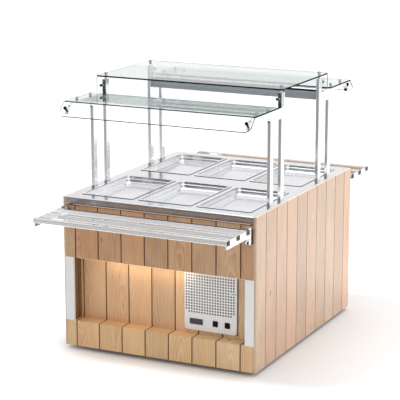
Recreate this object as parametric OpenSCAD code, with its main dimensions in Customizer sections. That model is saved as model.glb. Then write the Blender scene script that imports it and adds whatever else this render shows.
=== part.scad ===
// Mobile refrigerated salad bar: a plank-clad cabinet on castors with a steel
// counter for six gastronorm pans, a two-sided glass sneeze guard and a
// fold-down tray slide along each long serving side.
// X runs along the control side, Y through the depth, Z up; the origin is on
// the floor under the centre. "Out" below means the distance |y| from the
// middle, because the two serving sides mirror each other.

/* [Body] */
// Width across the two side panels
body_w = 1168; // [1140:1:1260]
// Depth from the front plank face to the back plank face
body_d = 1390; // [1380:1:1460]
// Height of the steel counter above the floor
counter_z = 877; // [860:1:900]
// Gap between the floor and the planks
floor_gap = 22; // [12:1:30]
// Thickness of the side panels
panel_t = 18; // [16:1:22]
// Thickness of the front, back and recess boards
board_t = 18; // [15:1:22]
// Radius on the upright outer edges of the side panels
edge_r = 9; // [4:1:14]
// Height of the plinth planks under the recess
plinth_h = 147; // [120:1:160]
// Height of the open recess above the plinth
recess_h = 365; // [345:1:380]
// Depth of the recess behind the front planks
recess_depth = 85; // [70:1:100]
// Thickness of the plank wall at the back of the recess
wall_t = 12; // [9:1:16]
// Width of the cheek on each side of the recess
cheek_w = 43; // [36:1:60]
// Distance between plank joints
plank_pitch = 143.2; // [110:0.1:180]
// Distance of the first joint of the front planks from the left side
front_first = 76.5; // [30:0.5:140]
// Distance of the first joint of a side panel from the front planks
side_first = 131; // [30:1:140]
// Width of the V at a plank joint
joint_w = 7; // [4:0.5:9]
// Depth of the V at a plank joint
joint_d = 4; // [2:0.5:6]

/* [Corner profiles and recess lamp] */
// Visible width of a corner profile
profile_w = 52; // [44:1:54]
// Sheet thickness of a corner profile
profile_t = 1.5; // [1:0.1:2.5]
// Depth of the profile's return into the recess
profile_return = 12; // [8:1:30]
// Width of the lamp strip under the recess ceiling
lamp_w = 18; // [12:1:26]
// Height of the lamp strip
lamp_h = 9; // [6:1:14]

/* [Frame] */
// Side of the square steel tubes of the chassis
frame_tube = 40; // [30:1:45]
// Wall of the chassis tubes
frame_wall = 2; // [1.5:0.5:3]
// Height of the underside of the chassis above the floor
frame_z = 100; // [98:1:110]

/* [Counter and pans] */
// Thickness of the counter sheet
sheet_t = 2; // [1.5:0.5:3]
// Height of the folded lip on the serving sides
lip_h = 47; // [38:1:60]
// Outside radius of the counter's folds
fold_r = 9; // [3:0.5:12]
// Outer width of a gastronorm pan
pan_w = 325; // [315:1:327]
// Outer length of a gastronorm pan
pan_l = 530; // [500:1:535]
// Depth of a pan
pan_depth = 40; // [38:1:100]
// Thickness of the pan sheet
pan_t = 1.2; // [0.8:0.1:2]
// Width of the pan's flat rim
pan_rim = 11; // [9:0.5:14]
// Depth of the stacking shoulder below the rim
pan_shoulder = 14; // [8:1:30]
// Step of the wall at the stacking shoulder
pan_step = 4; // [2:0.5:6]
// Corner radius of the pan's mouth
pan_r = 30; // [20:1:40]
// Distance from a plank face to the outer ends of the pans
pan_edge = 83; // [70:1:95]
// Depth of the cold well below the counter
well_depth = 150; // [130:1:170]
// Thickness of the foam round the cold well
foam_t = 34; // [20:1:36]

/* [Sneeze guard] */
// Distance of the posts' middles from the sides of the body
post_in = 46; // [40:1:50]
// Width of a post across the counter
post_w = 20; // [16:1:24]
// Depth of a post
post_d = 40; // [30:1:46]
// Wall of a post
post_wall = 1.5; // [1:0.5:3]
// Distance out of the tall posts
tall_out = 270; // [240:1:285]
// Distance out of the short posts
short_out = 416; // [400:1:440]
// Height of the short posts above the counter
short_h = 455; // [440:1:470]
// Height of an arm at the posts
arm_h = 58; // [48:1:62]
// Height of the tall posts above the arms
post_rise = 80; // [60:1:120]
// Thickness of the glass panes
glass_t = 8; // [6:1:10]
// Distance of the panes' ends from the sides of the body
glass_in = 16; // [4:1:28]
// Height of the stand-offs under the roof glass
roof_gap = 19; // [14:1:30]
// Height of the stand-offs under the shelf glass
shelf_gap = 8; // [6:1:18]
// Distance out of the upright glass's outer face
upright_out = 325; // [318:1:335]
// Height of the upright glass's lower edge above the arms
upright_low = 12.7; // [6:0.1:20]
// Distance out of the shelf glass's inner edge
shelf_in = 378; // [372:1:390]
// Distance out of the shelf glass's outer edge
shelf_end = 684; // [675:1:695]
// Distance out of the inner shelf stand-offs
stud_in = 450; // [440:1:470]
// Distance out of the outer shelf stand-offs
stud_end = 598; // [580:1:610]
// Length of the sloped visor glass
visor_len = 96; // [85:1:110]
// Slope of the visor glass below the horizontal
visor_a = 46.5; // [40:0.5:55]
// Radius of the visor's lower corners
visor_r = 38; // [20:1:45]
// Diameter of the stand-off studs
stud_d = 12; // [10:1:16]
// Diameter of the bolts through the glass
bolt_d = 8; // [6:1:9]
// Diameter of the caps over the glass
cap_d = 18; // [13:1:22]
// Height of the caps over the glass
cap_h = 12; // [6:1:16]
// Diameter of the black knobs
knob_d = 15; // [13:1:24]
// Depth of the light box between the arms
box_d = 68; // [50:1:76]
// Height of the light box
box_h = 47; // [38:1:52]

/* [Tray slides] */
// Width of a tray rail
rail_w = 30; // [24:1:38]
// Height of a tray rail
rail_h = 25; // [20:1:30]
// Wall of a tray rail
rail_wall = 1.5; // [1:0.5:3]
// Distance of a tray rail's ends from the sides of the body
rail_in = 17; // [0:1:17]
// Distance of the first rail's middle from the planks
rail_first = 69; // [62:1:95]
// Distance between rails
rail_pitch = 122; // [100:1:130]
// Height of the top of the rails above the floor
rail_z = 822; // [812:1:830]
// Distance of the brackets' outer faces from the sides of the body
bracket_in = 18; // [17:1:24]
// Thickness of a bracket
bracket_t = 4; // [3:0.5:6]
// Height of the bracket beam below the rails
beam_h = 20; // [12:1:24]
// Height of the bracket at the wall
bracket_h = 94; // [88:1:103]
// Depth of the black hinge block
block_d = 24; // [20:1:26]
// Width of the black hinge block
block_w = 28; // [26:1:34]
// Diameter of the hinge pin
hinge_pin_d = 6; // [5:0.5:8]

/* [Control panel] */
// Left edge of the grille panel from the middle
grille_left = 128.5; // [116:0.5:140]
// Width of the grille panel
grille_w = 312.5; // [309:0.5:326]
// Height of the grille panel's lower edge above the plinth
grille_low = 22; // [15:1:30]
// Gap between the grille panel and the recess ceiling
grille_top = 4; // [2:1:10]
// How far the grille panel stands proud of the wall
grille_d = 12; // [9:1:16]
// Radius of the grille panel's corners
grille_r = 12; // [8:1:20]
// Sheet thickness of the grille panel
grille_t = 1.5; // [1:0.5:2.5]
// Side of a square grille hole
hole_s = 9; // [6:0.5:10]
// Distance between grille holes
hole_pitch = 15.7; // [14.5:0.1:16.5]
// Distance of the thermostat's middle from the grille panel's left edge
thermo_in = 71.5; // [60:0.5:90]
// Distance of the first switch's middle from the grille panel's left edge
switch_in = 185.5; // [160:0.5:200]
// Distance of the first hole column from the grille panel's left edge
hole_in = 11.7; // [10:0.1:20]
// Number of hole columns
hole_cols = 19; // [11:1:19]
// Number of hole rows
hole_rows = 15; // [8:1:15]
// Width of the thermostat
thermo_w = 78; // [70:1:85]
// Height of the thermostat
thermo_h = 32; // [28:1:38]
// Width of a switch frame
switch_w = 30; // [24:1:34]
// Height of a switch frame
switch_h = 32; // [26:1:36]
// Distance between the two switches
switch_pitch = 72; // [55:1:80]

/* [Cooling unit] */
// Width of the condenser
cond_w = 250; // [220:1:270]
// Height of the condenser's finned block
cond_h = 195; // [180:1:210]
// Depth of the condenser
cond_d = 42; // [34:1:48]
// Number of fins
fins = 24; // [12:1:30]
// Diameter of the fan
fan_d = 170; // [150:1:190]
// Diameter of the fan shaft
shaft_d = 6; // [5:0.5:8]
// Diameter of the compressor shell
comp_d = 150; // [130:1:170]
// Height of the compressor shell
comp_h = 180; // [150:1:200]

/* [Castors] */
// Diameter of the wheels
wheel_d = 75; // [70:1:76]
// Width of the wheels
wheel_w = 25; // [20:1:28]
// Trail of a castor
trail = 28; // [20:1:30]
// Distance of the castors from the sides of the body
castor_in = 104; // [100:1:114]
// Distance of the front castors behind the front planks
castor_front_in = 175; // [170:1:195]
// Distance of the back castors in front of the back planks
castor_back_in = 100; // [95:1:125]
// Diameter of the axle bolt
axle_d = 8; // [6:0.5:10]
// Diameter of the swivel pin
swivel_d = 12; // [10:0.5:14]

/* [Hidden] */

$fn = 48;
// Overshoot of a cut past the face it opens
eps = 1;
// Air between a board and its neighbour
seam = 0.5;
// Air left round pieces that only stand beside each other
play = 0.3;
// Radial running clearance of a pin in its bore
run = 0.05;

// Inner face of the side panels
in_x = body_w / 2 - panel_t;
// Face of the front and back planks
face = body_d / 2;
// Top of the plinth, which is the floor of the recess
recess_z0 = floor_gap + plinth_h;
// Ceiling of the recess
recess_z1 = recess_z0 + recess_h;
// Lower edge of the counter's lip
lip_z = counter_z - lip_h;
// Face of the plank wall at the back of the recess
wall_y = face - recess_depth;
// Front and back of the chassis, which sits behind the wall and the back panel
frame_front = wall_y - wall_t;
frame_back = face - board_t;
// The counter bands between the pans share what the pans leave free: a gap in
// a row gets its part of the width, the middle band what is left of the depth
pan_gap = (2 * in_x - 3 * pan_w) * 27 / 157;
row_gap = body_d - 2 * (pan_edge + pan_l);
// Inner half sizes of the cold well
well_margin = 5;
well_x = 1.5 * pan_w + pan_gap + well_margin;
well_y = row_gap / 2 + pan_l + well_margin;
well_z = counter_z - sheet_t - well_depth;
well_sheet = 1.5;
foam_z = well_z - well_sheet - foam_t;
// Drain of the cold well
drain_d = 40;
drain_len = foam_t + 40;
// Middles of the pans
pan_dx = pan_w + pan_gap;
pan_y = (row_gap + pan_l) / 2;
// The pan's rim is turned down all round and stands on the counter
rim_turn = 3;
pan_top = counter_z + rim_turn;
mouth_w = pan_w - 2 * pan_rim;
mouth_l = pan_l - 2 * pan_rim;
cutout_play = 2;

// Sneeze guard
post_x = body_w / 2 - post_in;
glass_x = body_w / 2 - glass_in;
arm_z0 = counter_z + short_h;
arm_z1 = arm_z0 + arm_h;
tall_top = arm_z1 + post_rise;
arm_in = tall_out + post_d / 2;
roof_z = tall_top + roof_gap;
shelf_z = arm_z1 + shelf_gap;
foot_t = 2;
foot_rim = 3;
// The visor hangs from the shelf glass's outer edge with a narrow gap
visor_gap = 3;
visor_y0 = shelf_end + visor_gap;
visor_z0 = shelf_z + glass_t / 2;
visor_ym = visor_y0 + cos(visor_a) * visor_len / 2;
visor_zm = visor_z0 - sin(visor_a) * visor_len / 2;
// The nose of an arm runs beside the visor
nose_gap = 18;
nose_t = 12;
nose_len = 34;
arm_wall = 1.5;
knob_h = 10;
upright_z = arm_z1 + upright_low;
upright_h = roof_z - play - upright_z;
fix_z = upright_z + upright_h * 0.45;
pad_t = 2;

// Tray slides
rail_x = body_w / 2 - rail_in;
bracket_x = body_w / 2 - bracket_in;
rails = [for (i = [0:2]) face + rail_first + i * rail_pitch];
beam_z = rail_z - rail_h - beam_h;
bracket_top = rail_z + 7;
web_top = rail_z - 1;
tip_y = rails[2] + rail_w / 2;
bracket_low = bracket_top - bracket_h;
knuckle_r = hinge_pin_d / 2 + 4;
hinge_out = face + block_d + play + knuckle_r;
hinge_z = bracket_low + knuckle_r;
flange_w = block_w;
knuckle_w = 10;
cap_t = 4;
plug_len = 12;

// Control panel
grille_z0 = recess_z0 + grille_low;
grille_h = recess_z1 - grille_top - grille_z0;
grille_y = wall_y + grille_d;
grille_x = grille_left + grille_w / 2;
holes_z = grille_z0 + grille_h - 17;
controls_z = grille_z0 + 49;
thermo_x = grille_left + thermo_in;
switch_x = grille_left + switch_in;
bezel_t = 3;
thermo_depth = 24;
cut_rim = 3;
slit_len = 32;
slit_h = 3.5;
slit_in = 4;
slit_row = 6;
slit_z = holes_z - slit_row * hole_pitch;

// Cooling unit
cond_x = grille_x + 17;
cond_z = holes_z - cond_h + 8;
cond_y = frame_front - 4;
fan_y = cond_y - cond_d - play;
fan_z = cond_z + cond_h / 2;
shroud_d = 26;
plate_rim = 15;
tray_z = frame_z + frame_tube;
tray_t = 2;
tray_x0 = -80;
tray_x1 = in_x - frame_tube - 20;
// Middle of the compressor
comp_x = 70;
comp_y = -330;
// Middles of the two inner cross tubes, and the height of the ring's middle
cross_y = -160;
cross_back = 260;
tube_z = frame_z + frame_tube / 2;

// Castors
castor_x = body_w / 2 - castor_in;
castor_front = face - castor_front_in;
castor_back = face - castor_back_in;
plate_s = 84;
plate_t = 3;
gusset_t = 4;
fork_t = 3;
fork_gap = wheel_w + 5;
fork_top = frame_z - plate_t - play;
fork_cap = 8;
castors = [[-castor_x, -castor_front], [castor_x, -castor_front],
           [-castor_x, castor_back], [castor_x, castor_back]];

// ---------------------------------------------------------------- shapes

// Rectangle centred on the origin with round corners
module rrect(w, h, r) {
  square([w - 2 * r, h], center = true);
  square([w, h - 2 * r], center = true);
  for (x = [-1, 1], y = [-1, 1])
    translate([x * (w / 2 - r), y * (h / 2 - r)]) circle(r);
}

// Rectangular tube standing on z = 0, as an outline with round corners
module tube_outline(w, h, t) {
  difference() {
    rrect(w, h, 2 * t);
    rrect(w - 2 * t, h - 2 * t, t / 2);
  }
}

// Tube along X, centred on the origin
module x_tube(len, w, h, t) {
  rotate([90, 0, 90])
    linear_extrude(len, center = true) tube_outline(w, h, t);
}

// Outline in the plane of out and z, extruded along X from x0 to x1
module slab(x0, x1) {
  translate([x0, 0, 0]) rotate([90, 0, 90]) linear_extrude(x1 - x0) children();
}

// Both serving sides: the shape is drawn on the back (+Y) side
module both_sides() {
  children();
  mirror([0, 1, 0]) children();
}

// Both ends: the shape is drawn at +X
module both_ends() {
  children();
  mirror([1, 0, 0]) children();
}

// Positions of the joints of a front or back board of a given half width
function joints(half) =
  [for (i = [-1:ceil(body_w / plank_pitch)])
    let (x = -body_w / 2 + front_first + i * plank_pitch) if (abs(x) < half - 2 * joint_w) x];

// V outline of a joint, opening towards -y at the face y = 0
module joint_outline() {
  polygon([[-joint_w / 2 - 1, -1], [joint_w / 2 + 1, -1], [joint_w / 2, 0],
           [joint_w / 7, joint_d], [-joint_w / 7, joint_d], [-joint_w / 2, 0]]);
}

// Vertical boards with their face at y = 0, thickness towards +y
module plank_board(w, h, t) {
  difference() {
    translate([-w / 2, 0, 0]) cube([w, t, h]);
    for (x = joints(w / 2))
      translate([x, 0, -eps]) linear_extrude(h + 2 * eps) joint_outline();
  }
}

// ---------------------------------------------------------------- cabinet

// Welded chassis of square tubes: two long ones joined by four cross tubes,
// six uprights that carry the cold well, and a gusset over each castor
module base_frame() {
  mid_y = (frame_back - frame_front) / 2;
  long_x = in_x - frame_tube / 2;
  bore = frame_tube - 2 * frame_wall;
  cross_at = [-frame_front + frame_tube / 2, cross_y, cross_back, frame_back - frame_tube / 2];
  upright_at = [-frame_front + frame_tube / 2, mid_y, frame_back - frame_tube / 2];
  color("dimgray") difference() {
    union() {
      for (x = [-long_x, long_x])
        translate([x, mid_y, tube_z]) cube([frame_tube, frame_front + frame_back, frame_tube], center = true);
      for (y = cross_at)
        translate([0, y, tube_z]) cube([2 * long_x, frame_tube, frame_tube], center = true);
      for (x = [-long_x, long_x], y = upright_at)
        translate([x - frame_tube / 2, y - frame_tube / 2, frame_z + frame_tube - eps])
          cube([frame_tube, frame_tube, foam_z - frame_z - frame_tube + eps]);
      for (c = castors)
        translate([c[0] > 0 ? c[0] - plate_s / 2 : -in_x + eps,
                   c[1] > 0 ? c[1] - plate_s / 2 : -frame_front + eps, frame_z])
          cube([in_x - castor_x + plate_s / 2 - eps,
                (c[1] > 0 ? frame_back - castor_back : frame_front - castor_front) + plate_s / 2 - eps,
                gusset_t]);
    }
    // Every tube is hollow; the long ones and the uprights are open at their ends
    for (x = [-long_x, long_x])
      translate([x, mid_y, tube_z]) cube([bore, frame_front + frame_back + 2 * eps, bore], center = true);
    for (y = cross_at)
      translate([0, y, tube_z]) cube([2 * long_x, bore, bore], center = true);
    for (x = [-long_x, long_x], y = upright_at)
      translate([x, y, frame_z + frame_tube + frame_wall])
        linear_extrude(foam_z) square(bore, center = true);
  }
}

// Folded sheet tray that carries the cooling unit
module machine_tray() {
  edge = 20;
  y0 = -frame_front + play;
  y1 = cross_y + frame_tube / 2 - play;
  color("silver") difference() {
    translate([tray_x0, y0, tray_z]) cube([tray_x1 - tray_x0, y1 - y0, edge]);
    translate([tray_x0 + tray_t, y0 + tray_t, tray_z + tray_t])
      cube([tray_x1 - tray_x0 - 2 * tray_t, y1 - y0 - 2 * tray_t, edge]);
  }
}

// Plank-clad side panel, drawn at +X
module side_panel() {
  h = counter_z - 2 - floor_gap;
  joints_y = [for (y = [side_first - face:plank_pitch:face - 3 * joint_w]) y];
  color("burlywood") translate([0, 0, floor_gap]) difference() {
    linear_extrude(h) union() {
      translate([in_x, -face]) square([panel_t - edge_r, body_d]);
      translate([in_x, -face + edge_r]) square([panel_t, body_d - 2 * edge_r]);
      for (s = [-1, 1])
        translate([in_x + panel_t - edge_r, s * (face - edge_r)]) circle(edge_r);
    }
    for (y = joints_y)
      translate([in_x + panel_t, y, -eps]) rotate([0, 0, 90])
        linear_extrude(h + 2 * eps) joint_outline();
  }
}

module side_panel_left() { mirror([1, 0, 0]) side_panel(); }
module side_panel_right() { side_panel(); }

// Planks above the recess, with the board that closes the recess on top
module front_fascia() {
  h = lip_z - seam - recess_z1;
  color("burlywood") {
    translate([0, -face, recess_z1]) plank_board(2 * (in_x - seam), h, board_t);
    translate([-in_x + seam, -face + board_t - eps, recess_z1])
      cube([2 * (in_x - seam), recess_depth - board_t - seam + eps, board_t]);
  }
}

// Planks below the recess, with the ledge board on top
module front_plinth() {
  color("burlywood") difference() {
    union() {
      translate([0, -face, floor_gap]) plank_board(2 * (in_x - seam), plinth_h, board_t);
      translate([-in_x + seam, -face + board_t - eps, recess_z0 - board_t])
        cube([2 * (in_x - seam), recess_depth - board_t - seam + eps, board_t]);
    }
    // The joints run on across the ledge
    for (x = joints(in_x))
      translate([x, -face - eps, recess_z0]) rotate([-90, 0, 0])
        linear_extrude(recess_depth + 2 * eps) joint_outline();
  }
}

// Plank wall at the back of the recess, cut out behind the grille panel
module recess_wall() {
  low = recess_z0 - 2 * board_t;
  rim = 12;
  color("burlywood") difference() {
    translate([0, -wall_y, low]) plank_board(2 * (in_x - seam), recess_z1 + board_t - low, wall_t);
    translate([grille_left + rim, -wall_y - eps, grille_z0 + rim])
      cube([grille_w - 2 * rim, wall_t + 2 * eps, grille_h - 2 * rim]);
  }
}

// Board corner on each side of the recess
module recess_cheeks() {
  h = recess_h - 2 * seam;
  inner = in_x - cheek_w;
  color("burlywood") both_ends() translate([0, 0, recess_z0 + seam]) difference() {
    union() {
      translate([inner, -face + profile_t, 0]) cube([board_t, recess_depth - profile_t - seam, h]);
      translate([inner, -face + profile_t, 0]) cube([cheek_w - seam, board_t, h]);
    }
    // Joint between the two boards of the cheek's side
    translate([inner, -wall_y - board_t * 1.7, -eps]) rotate([0, 0, -90])
      linear_extrude(h + 2 * eps) joint_outline();
  }
}

// Painted steel profile that covers the front of each cheek
module corner_profiles() {
  inner = in_x - cheek_w;
  h = recess_h - 2 * play;
  color("whitesmoke") both_ends() translate([0, 0, recess_z0 + play]) difference() {
    union() {
      translate([inner - profile_t, -face - profile_t, 0]) cube([profile_w, profile_t, h]);
      translate([inner - profile_t, -face - profile_t, 0])
        cube([profile_t, profile_return + profile_t, h]);
    }
    for (z = screw_heights)
      translate([inner + 9, -face - profile_t - eps, z]) rotate([-90, 0, 0])
        cylinder(h = profile_t + 2 * eps, d = screw_hole);
  }
}
screw_hole = 5;
screw_heights = [28, recess_h - 28];

// Screws of the profiles and of the grille panel
module panel_screws() {
  inner = in_x - cheek_w;
  color("silver") {
    both_ends() for (z = screw_heights)
      translate([inner + 9, -face - profile_t, recess_z0 + play + z]) panel_screw(profile_t);
    for (x = [grille_screw_in, grille_w - grille_screw_in], z = [18, grille_h - 6])
      translate([grille_left + x, -grille_y, grille_z0 + z]) panel_screw(grille_t);
  }
}
grille_screw_in = 9;

// Screw with a domed head against y = 0 and its shank just through the sheet
module panel_screw(sheet) {
  rotate([90, 0, 0]) rotate_extrude()
    polygon(concat([[0, -sheet], [2, -sheet], [2, 0]],
                   [for (a = [0:15:90]) [4.5 * cos(a), 2.2 * sin(a)]]));
}

// Flat plank panel on the far serving side
module back_panel() {
  color("burlywood") difference() {
    translate([0, face, floor_gap]) rotate([0, 0, 180])
      plank_board(2 * (in_x - seam), lip_z - seam - floor_gap, board_t);
    translate([gland_x, face + eps, gland_z]) rotate([90, 0, 0])
      cylinder(h = board_t + 2 * eps, d = gland_d + 2 * play);
  }
}
gland_in = 154;
gland_x = gland_in - body_w / 2;
gland_z = floor_gap + 58;
gland_d = 20;

// Cable gland for the mains lead, low on the back panel
module cable_gland() {
  hex = 27;
  nut_t = 5;
  color("dimgray") translate([gland_x, face, gland_z]) rotate([-90, 0, 0]) difference() {
    union() {
      cylinder(h = 6, d = hex, $fn = 6);
      translate([0, 0, 6]) cylinder(h = 9, d = 22);
      translate([0, 0, -board_t - nut_t]) cylinder(h = board_t + nut_t + 1, d = gland_d);
      translate([0, 0, -board_t - nut_t]) cylinder(h = nut_t, d = hex, $fn = 6);
    }
    translate([0, 0, -board_t - nut_t - eps]) cylinder(h = board_t + nut_t + 20, d = 9);
  }
}

// Aluminium strip with a diffuser, under the recess ceiling
module recess_lamp() {
  len_x = 2 * (in_x - cheek_w) - 30;
  color("moccasin") translate([-len_x / 2, -face + board_t + 6, recess_z1 - lamp_h]) difference() {
    cube([len_x, lamp_w, lamp_h]);
    translate([-eps, -eps, -eps]) cube([len_x + 2 * eps, 1.5 + eps, 2 + eps]);
    translate([-eps, lamp_w - 1.5, -eps]) cube([len_x + 2 * eps, 1.5 + eps, 2 + eps]);
  }
}

// ---------------------------------------------------------------- controls

// Cover with a field of square holes over the condenser; the outer columns
// are one hole shorter, and a slit takes the place of two holes on each side
module grille_panel() {
  color("whitesmoke") difference() {
    translate([grille_x, -grille_y, grille_z0 + grille_h / 2]) rotate([-90, 0, 0])
      difference() {
        linear_extrude(grille_d) rrect(grille_w, grille_h, grille_r);
        translate([0, 0, grille_t])
          linear_extrude(grille_d) rrect(grille_w - 2 * grille_t, grille_h - 2 * grille_t,
                                         grille_r - grille_t);
      }
    for (c = [0:hole_cols - 1], r = [0:hole_rows - 1])
      if ((r < hole_rows - 1 || min(c, hole_cols - 1 - c) > 0)
          && (r != slit_row || min(c, hole_cols - 1 - c) > 1))
        translate([grille_left + hole_in + c * hole_pitch - hole_s / 2, -grille_y - eps,
                   holes_z - r * hole_pitch - hole_s / 2])
          cube([hole_s, grille_t + 2 * eps, hole_s]);
    for (x = [grille_left + slit_in, grille_left + grille_w - slit_in - slit_len])
      translate([x, -grille_y - eps, slit_z - slit_h / 2])
        cube([slit_len, grille_t + 2 * eps, slit_h]);
    panel_cut(thermo_x, thermo_w, thermo_h);
    for (i = [0, 1]) panel_cut(switch_x + i * switch_pitch, switch_w, switch_h);
    for (x = [grille_screw_in, grille_w - grille_screw_in], z = [18, grille_h - 6])
      translate([grille_left + x, -grille_y - eps, grille_z0 + z]) rotate([-90, 0, 0])
        cylinder(h = grille_t + 2 * eps, d = screw_hole);
  }
}

// Cut-out for a control that overlaps it by cut_rim all round
module panel_cut(x, w, h) {
  translate([x - w / 2 + cut_rim, -grille_y - eps, controls_z - h / 2 + cut_rim])
    cube([w - 2 * cut_rim, grille_t + 2 * eps, h - 2 * cut_rim]);
}

// Block that fills a cut-out behind a control's bezel, with air round it
module control_body(x, w, h, depth) {
  translate([x - w / 2 + cut_rim + play, -grille_y, controls_z - h / 2 + cut_rim + play])
    cube([w - 2 * (cut_rim + play), depth, h - 2 * (cut_rim + play)]);
}

// Digital thermostat with a bevelled bezel and a sunk display window
module thermostat() {
  color("darkslategray") {
    difference() {
      translate([thermo_x, -grille_y, controls_z]) rotate([90, 0, 0])
        linear_extrude(bezel_t) rrect(thermo_w, thermo_h, 2.5);
      translate([thermo_x - thermo_w * 0.42, -grille_y - bezel_t - eps, controls_z - thermo_h * 0.3])
        cube([thermo_w * 0.5, 1 + eps, thermo_h * 0.6]);
    }
    control_body(thermo_x, thermo_w, thermo_h, thermo_depth);
    for (i = [0, 1], j = [0, 1])
      translate([thermo_x + thermo_w * (0.2 + 0.16 * i), -grille_y - bezel_t,
                 controls_z + (j - 0.5) * thermo_h * 0.4])
        rotate([90, 0, 0]) cylinder(h = 0.6, d = 6);
  }
}

rocker_rim = 4;
rocker_pivot = 7;

// Frames of the two rocker switches, each with a pocket and a pivot pin
module switch_frames() {
  color("black") for (i = [0, 1]) {
    x = switch_x + i * switch_pitch;
    difference() {
      union() {
        translate([x, -grille_y, controls_z]) rotate([90, 0, 0])
          linear_extrude(bezel_t) rrect(switch_w, switch_h, 2);
        control_body(x, switch_w, switch_h, 30);
      }
      translate([x - switch_w / 2 + rocker_rim, -grille_y - bezel_t - eps,
                 controls_z - switch_h / 2 + rocker_rim])
        cube([switch_w - 2 * rocker_rim, bezel_t + 16, switch_h - 2 * rocker_rim]);
    }
    translate([x, -grille_y + rocker_pivot, controls_z]) rotate([0, 90, 0])
      cylinder(h = switch_w - 2 * rocker_rim + 2 * eps, d = 3, center = true);
  }
}

// Rocker that tips on its pin: two flats that meet over the pivot
module rocker(x) {
  w = switch_w - 2 * rocker_rim - 2 * play;
  h = switch_h - 2 * rocker_rim - 3;
  color("black") difference() {
    translate([x - w / 2, -grille_y + rocker_pivot, controls_z]) rotate([90, 0, 90])
      linear_extrude(w) polygon([[3, -3], [3, 3], [-rocker_pivot + 1, h / 2],
                                 [-rocker_pivot - bezel_t - 2, h / 2 - 1],
                                 [-rocker_pivot - bezel_t, 0],
                                 [-rocker_pivot - bezel_t + 0.4, -h / 2 + 0.5],
                                 [-rocker_pivot + 1, -h / 2]]);
    translate([x, -grille_y + rocker_pivot, controls_z]) rotate([0, 90, 0])
      cylinder(h = w + 2 * eps, d = 3 + 2 * run, center = true);
  }
}

module light_rocker() { rocker(switch_x); }
module power_rocker() { rocker(switch_x + switch_pitch); }

// ---------------------------------------------------------------- counter

// One folded sheet: top, lip on both serving sides, return under each lip,
// and a cut-out for each pan
module counter_top() {
  lip_return = 16;
  color("gainsboro") difference() {
    slab(-in_x + seam, in_x - seam) difference() {
      translate([0, counter_z - lip_h / 2]) rrect(body_d, lip_h, fold_r);
      translate([0, counter_z - lip_h / 2])
        rrect(body_d - 2 * sheet_t, lip_h - 2 * sheet_t, fold_r - sheet_t);
      translate([0, lip_z]) square([body_d - 2 * lip_return, 3 * sheet_t], center = true);
    }
    for (p = pan_places)
      translate([p[0], p[1], counter_z - sheet_t - eps])
        linear_extrude(sheet_t + 2 * eps)
          rrect(mouth_w + 2 * (pan_t + cutout_play), mouth_l + 2 * (pan_t + cutout_play),
                pan_r + pan_t + cutout_play);
  }
}
pan_places = [for (y = [-1, 1], x = [-1:1]) [x * pan_dx, y * pan_y]];

// Cold well under the counter, with a welded drain spout
module well_tub() {
  r = 18;
  color("lightgray") difference() {
    union() {
      translate([0, 0, well_z - well_sheet])
        linear_extrude(well_depth + well_sheet)
          rrect(2 * (well_x + well_sheet), 2 * (well_y + well_sheet), r + well_sheet);
      translate([0, 0, well_z - well_sheet - drain_len])
        cylinder(h = drain_len + well_sheet, d = drain_d);
    }
    translate([0, 0, well_z]) linear_extrude(well_depth + eps) rrect(2 * well_x, 2 * well_y, r);
    translate([0, 0, well_z - well_sheet - drain_len - eps])
      cylinder(h = drain_len + 3 * eps + well_sheet, d = drain_d - 3);
  }
}

// Rigid foam shell round the cold well
module well_foam() {
  side_x = in_x - 4;
  side_y = well_y + well_sheet + play + foam_t;
  color("lightyellow") difference() {
    translate([-side_x, -side_y, foam_z])
      cube([2 * side_x, 2 * side_y, counter_z - sheet_t - play - foam_z]);
    translate([0, 0, well_z - well_sheet])
      linear_extrude(well_depth + foam_t)
        rrect(2 * (well_x + well_sheet + play), 2 * (well_y + well_sheet + play), 20);
    translate([0, 0, foam_z - eps]) cylinder(h = foam_t + 2 * eps, d = drain_d + 2);
  }
}

// Gastronorm pan: turned-down rim, wall, stacking shoulder, floor
module pan(ix, iy) {
  floor_z = pan_top - pan_depth;
  low_w = mouth_w - 2 * pan_step;
  low_l = mouth_l - 2 * pan_step;
  shoulder_z = pan_top - pan_shoulder;
  color("whitesmoke") translate([ix * pan_dx, iy * pan_y, 0]) difference() {
    union() {
      translate([0, 0, counter_z]) linear_extrude(rim_turn) rrect(pan_w, pan_l, 14);
      translate([0, 0, shoulder_z - pan_t]) linear_extrude(pan_shoulder + pan_t)
        rrect(mouth_w + 2 * pan_t, mouth_l + 2 * pan_t, pan_r + pan_t);
      translate([0, 0, floor_z]) linear_extrude(pan_depth)
        rrect(low_w + 2 * pan_t, low_l + 2 * pan_t, pan_r - pan_step + pan_t);
    }
    // Mouth down to the shoulder, then the deeper part
    translate([0, 0, shoulder_z]) linear_extrude(pan_shoulder + eps) rrect(mouth_w, mouth_l, pan_r);
    translate([0, 0, floor_z + pan_t]) linear_extrude(pan_depth)
      rrect(low_w, low_l, pan_r - pan_step);
    // Hollow under the rim
    translate([0, 0, counter_z - eps]) linear_extrude(rim_turn - pan_t + eps) difference() {
      rrect(pan_w - 2 * pan_t, pan_l - 2 * pan_t, 14 - pan_t);
      rrect(mouth_w + 2 * pan_t, mouth_l + 2 * pan_t, pan_r + pan_t);
    }
  }
}

module pan_front_left() { pan(-1, -1); }
module pan_front_middle() { pan(0, -1); }
module pan_front_right() { pan(1, -1); }
module pan_back_left() { pan(-1, 1); }
module pan_back_middle() { pan(0, 1); }
module pan_back_right() { pan(1, 1); }

// ---------------------------------------------------------------- sneeze guard

// Rectangular tube on a thin foot plate, closed on top
module post(h) {
  linear_extrude(foot_t) rrect(post_w + 2 * foot_rim, post_d + 2 * foot_rim, 3);
  linear_extrude(h) tube_outline(post_w, post_d, post_wall);
  translate([0, 0, h - foot_t]) linear_extrude(foot_t) rrect(post_w, post_d, 2 * post_wall);
}

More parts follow.
